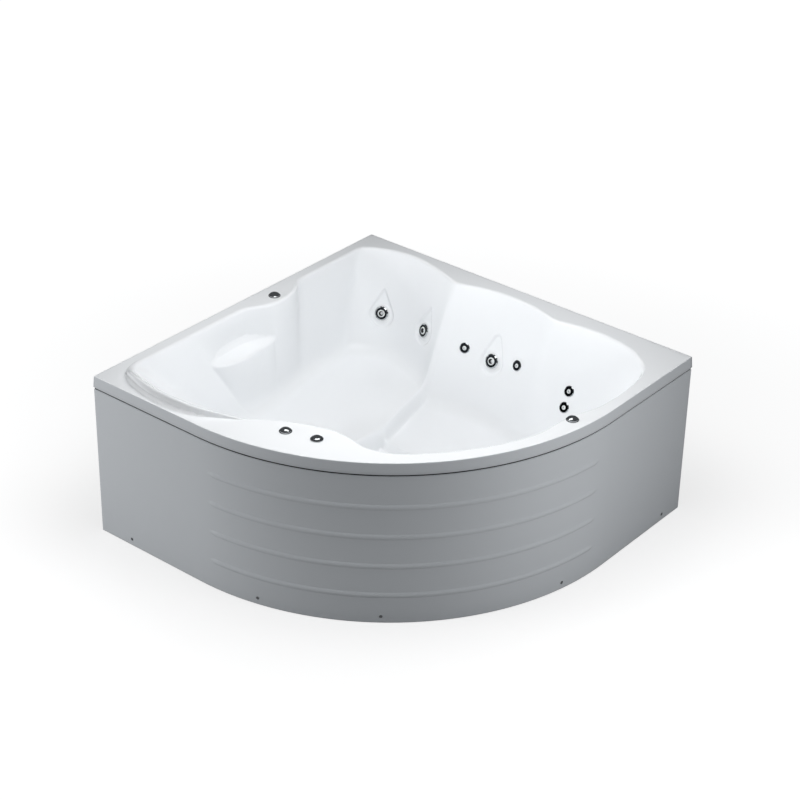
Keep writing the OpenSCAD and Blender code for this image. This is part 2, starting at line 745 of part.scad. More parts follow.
// Push-button that works the pump by a puff of air
button_travel = 4;
module button_body() {
    cap = knob_d / 2 - 6;
    color("silver")
    translate([button.x, button.y, rim_h])
    difference() {
        union() {
            cylinder(d = knob_d, h = 3);
            translate([0, 0, 3]) cylinder(d1 = knob_d, d2 = knob_d - 7, h = 3);
            translate([0, 0, -shell_t - 40]) cylinder(r = knob_bore, h = shell_t + 40);
            translate([0, 0, -shell_t - 36]) cylinder(r = knob_bore + 3, h = 36);
        }
        translate([0, 0, -30]) cylinder(r = knob_bore - 2, h = 60);
        translate([0, 0, 1]) cylinder(r = cap + gap, h = 10);
    }
}
module button_cap() {
    cap = knob_d / 2 - 6;
    low = 1 + button_travel + gap;
    color("silver")
    translate([button.x, button.y, rim_h]) {
        translate([0, 0, low]) cylinder(r = cap, h = 3);
        translate([0, 0, low + 3]) cylinder(r1 = cap, r2 = cap - 4, h = 2);
        translate([0, 0, -30 + button_travel + gap]) cylinder(r = knob_bore - 2 - gap, h = 32);
    }
}

// Overflow behind the wall, its turning knob, and the pipe down to the waste
overflow_r = 14;
overflow_l = 39;
module overflow_body() {
    s = hollow_seat;
    color("white")
    on_wall(overflow)
    difference() {
        union() {
            translate([0, 0, -s[0]]) cylinder(r = 32, h = 3);
            translate([0, 0, -overflow_l]) cylinder(r = overflow_bore, h = overflow_l);
            translate([0, 0, -s[1] - 10]) cylinder(r = overflow_bore + nut_lap, h = 10);
        }
        translate([0, 0, -20]) cylinder(d = spindle_d + 2 * fit, h = 40);
        for (a = [0:60:300]) rotate([0, 0, a]) translate([13, 0, -25]) cylinder(r = 3.2, h = 40, $fn = 24);
    }
}
module overflow_knob() {
    s = hollow_seat;
    front = 3 - s[0] + gap;
    color("silver")
    on_wall(overflow) {
        difference() {
            translate([0, 0, front + 4]) cylinder(r = 34, h = 8);
            for (a = [0:45:315]) rotate([0, 0, a]) translate([36, 0, front + 3]) cylinder(r = 5, h = 12, $fn = 32);
        }
        translate([0, 0, front]) cylinder(r = 8, h = 5);
        translate([0, 0, -18]) cylinder(d = spindle_d, h = 18 + front + 5);
    }
}

// A straight pipe between two points, and a route of pipes with a wider joint at each bend
module pipe(a, b, r) {
    v = b - a;
    translate(a) rotate([0, acos(v.z / norm(v)), atan2(v.y, v.x)]) cylinder(r = r, h = norm(v));
}
module route(pts, r) {
    for (i = [0:len(pts) - 2]) pipe(pts[i], pts[i + 1], r);
    for (i = [1:len(pts) - 2]) translate(pts[i]) sphere(r = r * 1.2);
}
drain_z = rail_low - overflow_r - 3;
waste_r = 30;
drain_from = overflow[0] - overflow[1] * (overflow_l + overflow_r + 4);
drain_way = unit([drain_from.x, drain_from.y] - waste);
module overflow_pipe() {
    drop = [drain_from.x, drain_from.y, drain_z];
    color("white")
    route([overflow[0] - overflow[1] * overflow_l, drain_from, drop,
        at_z(waste + drain_way * (waste_r + 10), drain_z)], overflow_r);
}
// Waste: flange with a spoked guide, the lifting plug, and the elbow below the shell
guide_z = -12;
thread_l = 14;
module waste_flange() {
    inner = waste_bore - 4;
    color("silver")
    translate([waste.x, waste.y, well_z]) {
        difference() {
            union() {
                cylinder(d1 = waste_d, d2 = waste_d - 6, h = 2);
                translate([0, 0, -shell_t - thread_l]) cylinder(r = waste_bore, h = shell_t + thread_l);
            }
            translate([0, 0, -shell_t - thread_l - 1]) cylinder(r = inner, h = 60);
        }
        difference() {
            translate([0, 0, guide_z]) {
                cylinder(d = spindle_d + 6, h = 6);
                for (a = [0, 120, 240]) rotate([0, 0, a])
                    translate([0, -1.5, 0]) cube([inner + 2, 3, 6]);
            }
            translate([0, 0, guide_z - 1]) cylinder(d = spindle_d + 2 * fit, h = 10);
        }
    }
}
module waste_plug() {
    r = waste_d / 2 - 5;
    dome = 4;
    color("silver")
    translate([waste.x, waste.y, well_z + 2 + gap]) {
        rotate_extrude($fn = 96)
            polygon(concat([[0, 0], [r, 0]], [for (a = [0:15:90]) [r * cos(a), 2 + dome * sin(a)]]));
        translate([0, 0, guide_z - plug_lift - 4]) cylinder(d = spindle_d, h = 6 + plug_lift - guide_z);
    }
}
module waste_elbow() {
    low = drain_z - overflow_r - 8;
    out_l = 110;
    color("white")
    translate([waste.x, waste.y, 0])
    difference() {
        union() {
            translate([0, 0, well_z - shell_t - 10]) cylinder(r = waste_bore + 12, h = 10);
            translate([0, 0, low]) cylinder(r = waste_r, h = well_z - shell_t - low);
            translate([0, 0, drain_z]) rotate([0, -90, 0]) cylinder(r = overflow_r + 6, h = out_l);
            translate([0, 0, drain_z]) rotate([0, 90, atan2(drain_way.y, drain_way.x)])
                cylinder(r = overflow_r + 2, h = waste_r + 10);
        }
        translate([0, 0, low + 5]) cylinder(r = waste_bore + fit, h = 200);
        translate([0, 0, drain_z]) rotate([0, -90, 0]) cylinder(r = overflow_r + 2, h = out_l + 10);
    }
}

// Suction on the footwell's hidden wall, its grille, and the pump under the headrest
suction_len = 50;
suction_t = 4;
module suction_body() {
    s = swell_seat;
    color("white")
    on_wall(suction)
    difference() {
        union() {
            translate([0, 0, -s[0]]) cylinder(d = suction_d, h = suction_t);
            translate([0, 0, -suction_len]) cylinder(r = suction_bore, h = suction_len);
            translate([0, 0, -s[1] - 12]) cylinder(r = suction_bore + nut_lap, h = 12);
        }
        translate([0, 0, -suction_len + 8]) cylinder(r = suction_bore - 4, h = 100);
    }
}
module suction_grille() {
    r = suction_d / 2 - 3;
    color("white")
    on_wall(suction) translate([0, 0, suction_t - swell_seat[0]])
    difference() {
        union() {
            cylinder(r = r, h = 4);
            translate([0, 0, 4]) cylinder(r1 = r, r2 = r - 5, h = 3);
        }
        translate([0, 0, -1]) cylinder(r = r - 6, h = 4);
        for (a = [0:30:330]) rotate([0, 0, a]) translate([12, -2, -1]) cube([r - 22, 4, 12]);
    }
}
pump_y = plan * -560;
pump_z = behind(suction, pump_y).z;
pump_x = plan * -330;
wet_r = motor_d / 2 - 3;
wet_l = 50;
out_r = pipe_d / 2 + 2;
out_y = pump_y - wet_r + out_r;
motor_x = pump_x - wet_l / 2;
box_x = motor_x - 75;
box_z = pump_z + motor_d / 2 + 12;
module along_x(x, l, r) {
    translate([x, pump_y, pump_z]) rotate([0, 90, 0]) cylinder(r = r, h = l, $fn = 72);
}
module pump_motor() {
    color("dimgray") {
        difference() {
            along_x(motor_x - motor_l, motor_l, motor_d / 2);
            for (k = [0:7]) translate([motor_x - 60 - k * 18, 0, 0])
                difference() {
                    along_x(0, 6, motor_d / 2 + 5);
                    along_x(-1, 8, motor_d / 2 - 4);
                }
        }
        along_x(motor_x - motor_l - 24, 24, motor_d / 2 - 5);
        translate([box_x - 100, button.y - 27, pump_z + motor_d / 2 - 14]) cube([100, 54, 44]);
        translate([box_x - 100, button.y, box_z]) rotate([0, -90, 0]) {
            cylinder(d = 24, h = 8, $fn = 6);
            translate([0, 0, 8]) cylinder(d1 = 20, d2 = 13, h = 10);
        }
    }
}
module pump_wet_end() {
    color("dimgray") {
        along_x(motor_x, wet_l, wet_r);
        along_x(motor_x + wet_l, 18, out_r + 6);
        translate([pump_x, out_y, pump_z]) cylinder(r = out_r, h = wet_r);
    }
}
plate_t = 4;
module pump_cradle() {
    saddle = 28;
    x0 = -half + rail_out;
    color("dimgray")
    difference() {
        union() {
            translate([x0, pump_y - 80, rail_top])
                cube([cross_a + rail / 2 - x0, 160, plate_t]);
            for (x = [motor_x - 58, motor_x - motor_l + 10])
                translate([x - saddle / 2, pump_y - 45, rail_top])
                    cube([saddle, 90, pump_z - 22 - rail_top]);
        }
        along_x(motor_x - motor_l - 30, motor_l + 60, motor_d / 2);
    }
}
module suction_pipe() {
    bend = behind(suction, pump_y);
    color("white")
    route([suction[0] - suction[1] * suction_len, bend,
        [motor_x + wet_l + 18, pump_y, pump_z]], pipe_d / 2);
}

// Water pipe from the pump, up the left side and along the back, with a branch to each jet
side_x = half - 36;
function tee(w) = behind(w, man_y);
tee_up = 24;
air_r = 8;
module branch(w, len) {
    t = tee(w);
    pipe(w[0] - w[1] * len, t, tail_r);
    translate(t) sphere(r = tail_r * 1.2);
    translate([t.x, t.y, water_z]) cylinder(r = tail_r, h = t.z - water_z);
    translate(t) cylinder(r = air_r + 2, h = tee_up);
}
module water_line() {
    last = tee(minis[2]);
    color("white") {
        route([[pump_x, out_y, pump_z + wet_r], [pump_x, out_y, water_z],
            [-side_x, out_y, water_z], [-side_x, man_y, water_z],
            [last.x + 40, man_y, water_z]], pipe_d / 2);
        for (w = jets) branch(w, jet_len);
        for (k = [0:2]) branch(minis[k], mini_len);
        pipe(minis[3][0] - minis[3][1] * mini_len, tee(minis[3]), tail_r);
    }
}
// Air pipe from the three controls round to the jets; the last pair of jets shares one drop
air_x = half - 28;
air_right = half - 55;
module air_line() {
    low = rim_h - valve_l;
    l = knobs[0];
    f = knobs[1];
    r = knobs[2];
    front_y = -half + 60;
    color("white") {
        route([at_z(l, low), at_z(l, low - 20), [-air_x, l.y, air_z], [-air_x, man_y, air_z],
            [air_right, man_y, air_z], [air_right, r.y, air_z], at_z(r, low - 20), at_z(r, low)], air_r);
        route([at_z(f, low), at_z(f, air_z), [f.x, front_y, air_z], [-air_x, front_y, air_z],
            [-air_x, l.y, air_z]], air_r);
        for (w = concat(jets, [for (k = [0:2]) minis[k]]))
            pipe(tee(w) + [0, 0, tee_up], at_z(tee(w), air_z), air_r);
    }
}
module air_switch_tube() {
    color("dimgray")
    route([at_z(button, rim_h - shell_t - 40), at_z(button, box_z), [box_x, button.y, box_z]], 4);
}

tub_shell();
well_board();
floor_bearers();
frame_long();
frame_side();
frame_bow();
frame_cross();
frame_posts();
rim_blocks();
foot(0);  // foot_1
foot(1);  // foot_2
foot(2);  // foot_3
foot(3);  // foot_4
foot(4);  // foot_5
foot(5);  // foot_6
foot_nuts();
front_panel();
panel_rail();
panel_arms();
panel_screws();
jet_body(0);  // jet_body_1
jet_body(1);  // jet_body_2
jet_body(2);  // jet_body_3
jet_bezel(0);  // jet_bezel_1
jet_bezel(1);  // jet_bezel_2
jet_bezel(2);  // jet_bezel_3
jet_eye(0);  // jet_eye_1
jet_eye(1);  // jet_eye_2
jet_eye(2);  // jet_eye_3
mini_body(0);  // mini_body_1
mini_body(1);  // mini_body_2
mini_body(2);  // mini_body_3
mini_body(3);  // mini_body_4
mini_eye(0);  // mini_eye_1
mini_eye(1);  // mini_eye_2
mini_eye(2);  // mini_eye_3
mini_eye(3);  // mini_eye_4
air_valve(0);  // air_valve_1
air_valve(1);  // air_valve_2
air_valve(2);  // air_valve_3
air_knob(0);  // air_knob_1
air_knob(1);  // air_knob_2
air_knob(2);  // air_knob_3
button_body();
button_cap();
overflow_body();
overflow_knob();
overflow_pipe();
waste_flange();
waste_plug();
waste_elbow();
suction_body();
suction_grille();
pump_motor();
pump_wet_end();
pump_cradle();
suction_pipe();
water_line();
air_line();
air_switch_tube();
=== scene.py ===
# %% [markdown]
# A jetted corner bathtub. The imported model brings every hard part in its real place, in metres:
# the frame, the pump, the pipes, the jets and the controls. Blender adds what the eye reads first,
# the smooth moulded shell and the bowed panel, and gives every surface its finish.

# %% Load the frame
import bpy
import json
import numpy as np
from mathutils import Matrix, Vector


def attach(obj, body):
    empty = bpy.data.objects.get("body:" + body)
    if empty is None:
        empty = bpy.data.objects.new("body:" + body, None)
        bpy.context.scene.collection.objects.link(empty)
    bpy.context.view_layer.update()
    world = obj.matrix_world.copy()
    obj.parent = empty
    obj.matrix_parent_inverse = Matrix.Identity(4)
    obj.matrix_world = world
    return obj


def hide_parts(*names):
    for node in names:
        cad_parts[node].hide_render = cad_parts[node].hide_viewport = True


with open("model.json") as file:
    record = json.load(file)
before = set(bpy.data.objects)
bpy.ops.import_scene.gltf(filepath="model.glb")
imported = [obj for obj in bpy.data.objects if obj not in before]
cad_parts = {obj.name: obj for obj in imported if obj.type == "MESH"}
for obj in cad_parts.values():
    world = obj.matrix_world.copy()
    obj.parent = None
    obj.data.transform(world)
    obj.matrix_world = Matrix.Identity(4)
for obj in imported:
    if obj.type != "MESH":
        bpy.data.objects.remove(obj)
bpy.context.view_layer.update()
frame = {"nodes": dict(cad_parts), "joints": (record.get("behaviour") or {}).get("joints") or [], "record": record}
nodes = frame["nodes"]
joints = {j["name"]: j for j in frame["joints"]}

# %% [markdown]
# A few small helpers serve the whole lesson. Colours are written as sRGB hex values, as a designer
# reads them, and one function makes them linear, which is what the shader needs. Shapes are numpy
# arrays, and one function puts a grid of points into a mesh.

# %% Helpers
def linear(hex_colour):
    """sRGB hex to linear RGBA: each channel through the sRGB curve."""
    c = np.array([int(hex_colour[i:i + 2], 16) for i in (1, 3, 5)]) / 255
    c = np.where(c <= 0.04045, c / 12.92, ((c + 0.055) / 1.055) ** 2.4)
    return (*c, 1.0)


def smooth(t):
    """The smooth step: 3t^2 - 2t^3 with t held between 0 and 1."""
    t = np.clip(t, 0, 1)
    return t * t * (3 - 2 * t)


def unit(v):
    """Each row divided by its length."""
    return v / np.maximum(np.linalg.norm(v, axis=-1, keepdims=True), 1e-12)


def lerp(a, b, t):
    """The straight blend a + (b - a) t."""
    return a + (b - a) * t


def make_piece(name, points, faces, body, replaces):
    """A mesh object from points and a list or array of faces. It rides on a body of the frame
    and hides the nodes that it replaces."""
    mesh = bpy.data.meshes.new(name)
    mesh.from_pydata(np.asarray(points, float).tolist(), [], [tuple(map(int, f)) for f in faces])
    mesh.validate()
    mesh.polygons.foreach_set("use_smooth", np.full(len(mesh.polygons), True))
    obj = bpy.data.objects.new(name, mesh)
    bpy.context.scene.collection.objects.link(obj)
    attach(obj, body)
    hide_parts(*replaces)
    return obj


def grid_quads(rows, cols, wrap_rows=False, start=0):
    """Quads of a rows x cols grid of points, row by row, wrapped round if the rows close."""
    i = np.arange(rows if wrap_rows else rows - 1)[:, None]
    j = np.arange(cols - 1)[None, :]
    a = start + i * cols + j
    b = start + ((i + 1) % rows) * cols + j
    return np.stack([a, a + 1, b + 1, b], axis=-1).reshape(-1, 4)


# %% [markdown]
# The basin is one thermoformed sheet. Seen from above it has an edge, where the wall meets the rim,
# and a foot, where the wall meets the floor. Both are chains of arcs: hollow bays that hold a
# bather, and the bosses between them. The table holds these arcs in millimetres, as in the solid
# model: stations, edge through and to, foot through and to, and the place on the rim's outline.

# %% The basin's plan
MM = 0.001
HALF, RIM, LIP, SHELL = 0.75, 0.640, 0.044, 0.006
LOUNGE, SEAT, WELL = 0.250, 0.200, 0.165
FILLET, ROLL, RIDGE, ARM_W, ARM_Z = 0.060, 0.012, 0.040, 0.076, 0.500
BOW_C, BOW_R = np.array([-0.255, 0.255]), 1.005
MID = np.array([-0.165, 0.135])
# Three points count as straight when twice their chords' cross product, in mm2, is below this.
NEARLY_STRAIGHT = 80
sector_start = [(690, 212), (592, 205)]
sectors = [
    (5, (703, 400), (676, 546), (600, 320), (565, 400), 1),
    (4, (606, 614), (500, 656), (525, 430), (455, 440), 1.16),
    (6, (360, 668), (217, 635), (330, 448), (195, 480), 1.355),
    (10, (-8, 683), (-233, 630), (-10, 505), (-240, 468), 1.655),
    (6, (-345, 674), (-466, 700), (-340, 540), (-455, 570), 1.79),
    (5, (-590, 690), (-673, 647), (-560, 568), (-640, 520), 2),
    (3, (-692, 635), (-700, 612), (-660, 498), (-667, 470), 2.07),
    (6, (-700, 440), (-697, 257), (-667, 360), (-667, 258), 2.325),
    (9, (-634, 108), (-694, -34), (-632, 110), (-603, -34), 2.52),
    (9, (-695, -300), (-695, -560), (-600, -110), (-598, -185), 2.86),
    (4, (-685, -613), (-655, -652), (-585, -250), (-540, -292), 3),
    (8, (-468, -712), (-289, -685), (-400, -312), (-255, -322), 3.93),
    (6, (-222, -650), (-149, -602), (-212, -390), (-150, -482), 4.08),
    (8, (-22, -515), (120, -467), (-25, -425), (108, -378), 4.305),
    (4, (187, -469), (250, -484), (165, -372), (222, -380), 4.385),
    (4, (318, -471), (378, -439), (270, -374), (312, -352), 4.47),
    (8, (524, -277), (633, -67), (437, -213), (535, -35), 4.78),
    (4, (648, 15), (650, 95), (556, 25), (567, 85), 4.89),
    (4, (662, 150), (690, 212), (582, 145), (592, 205), 5)]


def arc_through(a, m, b, f):
    """The point at the fraction f of the circular arc from a through m to b."""
    a, m, b = (np.array(v, float) for v in (a, m, b))
    p, q = m - a, b - a
    d = 2 * (p[0] * q[1] - p[1] * q[0])
    if abs(d) < NEARLY_STRAIGHT:
        return lerp(a, b, f)
    c = a + np.array([q[1] * (p @ p) - p[1] * (q @ q), p[0] * (q @ q) - q[0] * (p @ p)]) / d
    angle = lambda v: np.arctan2(v[1], v[0])
    wrap = lambda t: (t + np.pi) % (2 * np.pi) - np.pi
    w = wrap(angle(m - c) - angle(a - c)) + wrap(angle(b - c) - angle(m - c))
    t = angle(a - c) + w * f
    return c + np.linalg.norm(a - c) * np.array([np.cos(t), np.sin(t)])


def coarse_stations():
    """Edge, foot and outline place of each station: arcs sampled closer towards their ends,
    then averaged once with the neighbours, which rounds the upright edges between the bays."""
    rows, edge0, foot0, out0 = [], *sector_start, 0
    for count, e1, e2, f1, f2, out in sectors:
        for i in range(count):
            f = i / count
            f = lerp(f, float(smooth(f)), 0.5)
            rows.append([*arc_through(edge0, e1, e2, f), *arc_through(foot0, f1, f2, f),
                         lerp(out0, out, f)])
        edge0, foot0, out0 = e2, f2, out
    rows = np.array(rows)
    flat = rows[:, :4] * MM
    eased = (np.roll(flat, 1, 0) + 2 * flat + np.roll(flat, -1, 0)) / 4
    return eased[:, :2], eased[:, 2:], rows[:, 4]


edge_c, foot_c, out_c = coarse_stations()
print("coarse stations", len(edge_c))

# %% [markdown]
# A smooth moulding needs many more stations than the solid model has. A closed cubic spline, whose
# bend is continuous, passes through the coarse ones, and more points go where the jets sit.

# %% Fine stations
def closed_spline(p, counts):
    """The closed cubic spline through p, with counts[i] points from p[i] on. The slopes at the
    points solve one ring of equations: equal bend on both sides of each point."""
    n = len(p)
    h = np.linalg.norm(np.roll(p, -1, 0) - p, axis=1)
    hp = np.roll(h, 1)
    step = (np.roll(p, -1, 0) - p) / h[:, None]
    back = np.roll(step, 1, 0)
    m = np.zeros((n, n))
    k = np.arange(n)
    m[k, (k - 1) % n] = h
    m[k, k] = 2 * (h + hp)
    m[k, (k + 1) % n] = hp
    slope = np.linalg.solve(m, 3 * (h[:, None] * back + hp[:, None] * step))
    i = np.repeat(k, counts)
    t = np.concatenate([np.arange(c) / c for c in counts])[:, None]
    j = (i + 1) % n
    hh = h[i][:, None]
    return ((2 * t**3 - 3 * t**2 + 1) * p[i] + (t**3 - 2 * t**2 + t) * hh * slope[i]
            + (3 * t**2 - 2 * t**3) * p[j] + (t**3 - t**2) * hh * slope[j])


JET_PITCH, PITCH = 0.0036, 0.0095    # distance of stations in the jets' bays and elsewhere
gaps = np.linalg.norm(np.roll(edge_c, -1, 0) - edge_c, axis=1)
jet_bays = (out_c > 1.15) & (out_c < 1.97)
counts = np.maximum(1, np.round(gaps / np.where(jet_bays, JET_PITCH, PITCH))).astype(int)
edge = closed_spline(edge_c, counts)
foot = closed_spline(foot_c, counts)
i_from = np.repeat(np.arange(len(counts)), counts)
t_in = np.concatenate([np.arange(c) / c for c in counts])
out_next = np.append(out_c[1:], 5.0)
place = lerp(out_c[i_from], out_next[i_from], t_in)
N = len(edge)
print("fine stations", N)

# %% [markdown]
# The rim's outline is a square with one quarter cut to a bow. Its corners get an 8 mm radius in
# plan, because a sheet that is pulled over a mould has no sharp corner.

# %% The rim's outline
CORNER = 0.008


def outline(u):
    """Point and outward direction at the place u: 0-1 right return, 1-2 back, 2-3 left,
    3-4 front return, 4-5 the bow. Close to a corner the point runs on the corner's arc."""
    p, n = np.zeros((len(u), 2)), np.zeros((len(u), 2))
    lines = [((HALF, BOW_C[1]), (HALF, HALF)), ((HALF, HALF), (-HALF, HALF)),
             ((-HALF, HALF), (-HALF, -HALF)), ((-HALF, -HALF), (BOW_C[0], -HALF))]
    for k, (a, b) in enumerate(lines):
        on = (u >= k) & (u < k + 1)
        p[on] = lerp(np.array(a), np.array(b), (u[on] - k)[:, None])
        n[on] = [(1, 0), (0, 1), (-1, 0), (0, -1)][k]
    bow = u >= 4
    w = np.radians(90 * (u[bow] - 4))
    n[bow] = np.stack([np.sin(w), -np.cos(w)], 1)
    p[bow] = BOW_C + BOW_R * n[bow]
    for cx, cy in ((1, 1), (-1, 1), (-1, -1)):
        corner = np.array([cx, cy]) * HALF
        s = np.abs(p - corner).sum(1)
        near = (s < CORNER) & (np.abs(p - corner).min(1) < 1e-9)
        side = np.where(np.abs(p - corner)[:, 1] > np.abs(p - corner)[:, 0], 1, -1)
        t = np.radians(45 * s / CORNER)[near] * side[near] * cx * cy
        base = np.arctan2(cy, cx) - t
        n[near] = np.stack([np.cos(base), np.sin(base)], 1)
        p[near] = corner - CORNER * np.array([cx, cy]) + CORNER * n[near]
    return p, n


out_p, out_n = outline(place)
print("outline spans", out_p.min(0), out_p.max(0))

# %% [markdown]
# The profile of each station runs from the basin's middle over the floor, up the wall, over the
# rolled edge or the headrest, across the rim and down the lip. Levels, headrest and armrest are
# formulas of the place, so the surface has no seams between its features.

# %% The floor's levels, the headrest and the armrest
# The riser's place in x, its slant, and the y from which it slants.
RISER_X, RISER_SLANT, SLANT_FROM = -0.168, 0.23, 0.145
# The middle and the width in y of the step from the seat to the footwell.
STEP_Y, STEP_WIDE = 0.120, 0.044
# The headrest's ends in x and its limit in y, the length of its rise, the fall's start and length.
HEAD_FROM, HEAD_TO, HEAD_FRONT = -0.695, -0.149, -0.5
HEAD_RISE, FALL_FROM, HEAD_FALL = 0.155, -0.400, 0.251
# The armrest's start and length in y and its limit in x. Below its ledge the wall is pushed in by
# the first share of its width, above it out by the second, and the ledge is this high.
ARM_FROM, ARM_LONG, ARM_SIDE = -0.325, 0.385, -0.6
ARM_IN, ARM_OUT, LEDGE = 0.55, 0.40, 0.026


def floor_z(x, y):
    """Lounge on the left, seat at the back right, footwell at the front right: two smooth steps.
    The one down from the lounge, the riser, is steeper at the back than at the front."""
    riser = RISER_X - RISER_SLANT * np.maximum(0, y - SLANT_FROM)
    wide = lerp(0.014, 0.036, smooth((0.300 - y) / 0.600))
    a = smooth(0.5 + (x - riser) / (2 * wide))
    b = smooth(0.5 + (STEP_Y - y) / STEP_WIDE)
    return lerp(LOUNGE, lerp(SEAT, WELL, b), a)


def crest(p):
    """Height of the headrest's crest over the rim: a parabola's rise, then a slow fall."""
    x, y = p[:, 0], p[:, 1]
    a = np.clip((x - HEAD_FROM) / HEAD_RISE, 0, 1)
    b = np.clip((x - FALL_FROM) / HEAD_FALL, 0, 1)
    h = RIDGE * (1 - (1 - a) ** 2) * (1 - b ** 1.5)
    return np.where((y > HEAD_FRONT) | (x > HEAD_TO) | (x < HEAD_FROM), 0, h)


def arm(p):
    """Width of the armrest along the left wall: half a sine wave, made a little fuller."""
    f = (p[:, 1] - ARM_FROM) / ARM_LONG
    on = (p[:, 0] < ARM_SIDE) & (f > 0) & (f < 1)
    return np.where(on, ARM_W * np.sin(np.pi * np.clip(f, 0, 1)) ** 0.8, 0)


def bend(a, b, c, f):
    """The quadratic curve from a to c that leaves and arrives along the lines to b."""
    return lerp(lerp(a, b, f), lerp(b, c, f), f)


def with_z(p, z):
    """Plan points given a height."""
    return np.concatenate([p, np.broadcast_to(z, p.shape[:-1])[..., None]], axis=-1)


# %% The profile
n_in = unit(out_p - edge)
h_crest, w_arm = crest(edge), arm(edge)
z_foot = floor_z(foot[:, 0], foot[:, 1])
z_top = RIM + h_crest
z_b, z_t = z_foot + FILLET, z_top - ROLL


def wall(z):
    """The wall at the height z of each station: straight from foot to edge, pushed into the
    basin below the armrest's ledge and out above it."""
    g = (z - z_foot) / (z_top - z_foot)
    q = lerp(foot, edge, g[:, None])
    low = ARM_IN * w_arm * smooth((z - z_foot) / (ARM_Z - z_foot))
    high = -ARM_OUT * w_arm * smooth((z_top - z) / (z_top - ARM_Z))
    d = lerp(low, high, smooth((z - ARM_Z + LEDGE / 2) / LEDGE))
    return with_z(q - n_in * d[:, None], z)


FLOOR_ROWS, FILLET_ROWS, WALL_ROWS = 21, 10, 65
toe = foot + unit(MID - foot) * FILLET
rings = []
for s in np.linspace(0, 1, FLOOR_ROWS + 1)[1:] ** 1.5:
    p = lerp(MID, toe, s)
    rings.append(with_z(p, floor_z(p[:, 0], p[:, 1])))
low, top = wall(z_b), wall(z_t)
for f in np.linspace(0, 1, FILLET_ROWS + 1)[1:]:
    rings.append(bend(rings[FLOOR_ROWS - 1], with_z(foot, z_foot), low, f))
# The wall's rows lie closer at the jets' height.
dense = np.interp(np.linspace(0, 1, WALL_ROWS + 1)[1:], [0, 0.04, 0.9, 1], [0, 0.09, 0.66, 1])
for g in dense:
    rings.append(wall(lerp(z_b, z_t, g)))
inner = with_z(edge + n_in * ROLL, z_top)
for f in np.linspace(0, 1, 8)[1:]:
    rings.append(bend(top, with_z(edge, z_top), inner, f))
# Behind the crest the headrest falls to the deck: over rise it comes half way down, and far is
# where it ends. far never comes closer to the outline than BORDER.
BORDER = 0.011
rise = (0.003 + 0.1 * h_crest)[:, None]
room = ((out_p - out_n * BORDER - edge - n_in * (ROLL + rise)) * out_n).sum(1)
wanted = 0.006 + 0.14 * h_crest
far = rise + np.minimum(wanted, room)[:, None]
print("room to spare behind the headrest", (room - wanted)[h_crest > 0].min())
brow = with_z(edge + n_in * (ROLL + rise), lerp(z_top, RIM, 0.5))
for f in np.linspace(0, 1, 6)[1:]:
    rings.append(bend(inner, with_z(edge + n_in * (ROLL + 0.9 * rise), z_top), brow, f))
base = with_z(edge + n_in * (ROLL + far), RIM)
for f in np.linspace(0, 1, 6)[1:]:
    rings.append(bend(brow, with_z(edge + n_in * (ROLL + rise), RIM), base, f))
EDGE_R, FLARE, FOOT_IN = 0.003, 0.004, 0.0016    # the lip's top edge, its flare, its foot's corner
deck = with_z(out_p - out_n * (FLARE + EDGE_R), RIM)
for f in np.linspace(0, 1, 7)[1:]:
    rings.append(lerp(base, deck, f))
LIP_FROM = len(rings) + 1    # from here on the faces belong to the lip
for w in np.radians([22, 45, 67, 88]):
    inset = FLARE + EDGE_R * (1 - np.sin(w))
    rings.append(with_z(out_p - out_n * inset, RIM - EDGE_R * (1 - np.cos(w))))
for f in (0.35, 0.7, 0.96):
    rings.append(with_z(out_p - out_n * FLARE * (1 - f), RIM - EDGE_R - f * (LIP - EDGE_R)))
rings.append(with_z(out_p - out_n * FOOT_IN, RIM - LIP))
rings.append(with_z(out_p - out_n * SHELL, RIM - LIP))
skin = np.stack(rings, axis=1)
R = skin.shape[1]
print("rings", R, "triangles", 2 * N * R)

# %% [markdown]
# Fittings need flat seats. Around each one the sheet is pressed flat on the fitting's own plane,
# and each large jet also sits in a teardrop recess that guides the stream upwards. Both are pushes
# along the fitting's axis, weighted by the distance from an outline, so the grid keeps its order.
# The sheet gets no bores and runs on behind the fittings. The rim's controls, the suction and the
# waste sit on it as it is.

# %% Seats and teardrop recesses
MINI_FACE = 0.004        # from a small jet's joint out to the plane of its seat
SEAT_DEPTH = -0.0004     # a pressed seat lies this little behind its fitting's plane
RECESS = -0.0045         # the floor of a teardrop recess
JET_SEAT, MINI_SEAT, OVERFLOW_SEAT = 0.0345, 0.0225, 0.034    # radii of the flat seats
BOWL_R, BOWL_DROP, BOWL_EDGE = 0.053, 0.006, 0.008    # a recess's lower circle and its soft edge
TEARDROPS = [(0.098, 0.004), (0.098, 0.004), (0.085, 0.020)]    # reach and tip radius of each


def axis_of(joint_name):
    """Place and direction of a fitting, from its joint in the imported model."""
    j = joints[joint_name]
    return np.array(j["pos_m"], float), unit(np.array(j["axis"], float))


jets = [axis_of(f"bezel_{k}_turn") for k in (1, 2, 3)]


def mini_axis(k):
    """A small jet's joint axis is level and lies in the wall, so its own axis runs from the middle
    of its tail's end ring to the joint."""
    j = joints[f"nozzle_{k}_tilt"]
    level = unit(np.array(j["axis"], float))
    co = np.array([v.co[:] for v in nodes[f"mini_body_{k}"].data.vertices])
    centre = np.array(j["pos_m"], float)
    away = np.linalg.norm(co - centre, axis=1)
    far = np.unique(np.round(co[away > away.max() - 2e-5], 6), axis=0).mean(0)
    n = unit(centre - far)
    n = unit(n - level * (n @ level))
    return centre + n * MINI_FACE, n


minis = [mini_axis(k) for k in (1, 2, 3, 4)]
overflow = axis_of("overflow_knob_turn")


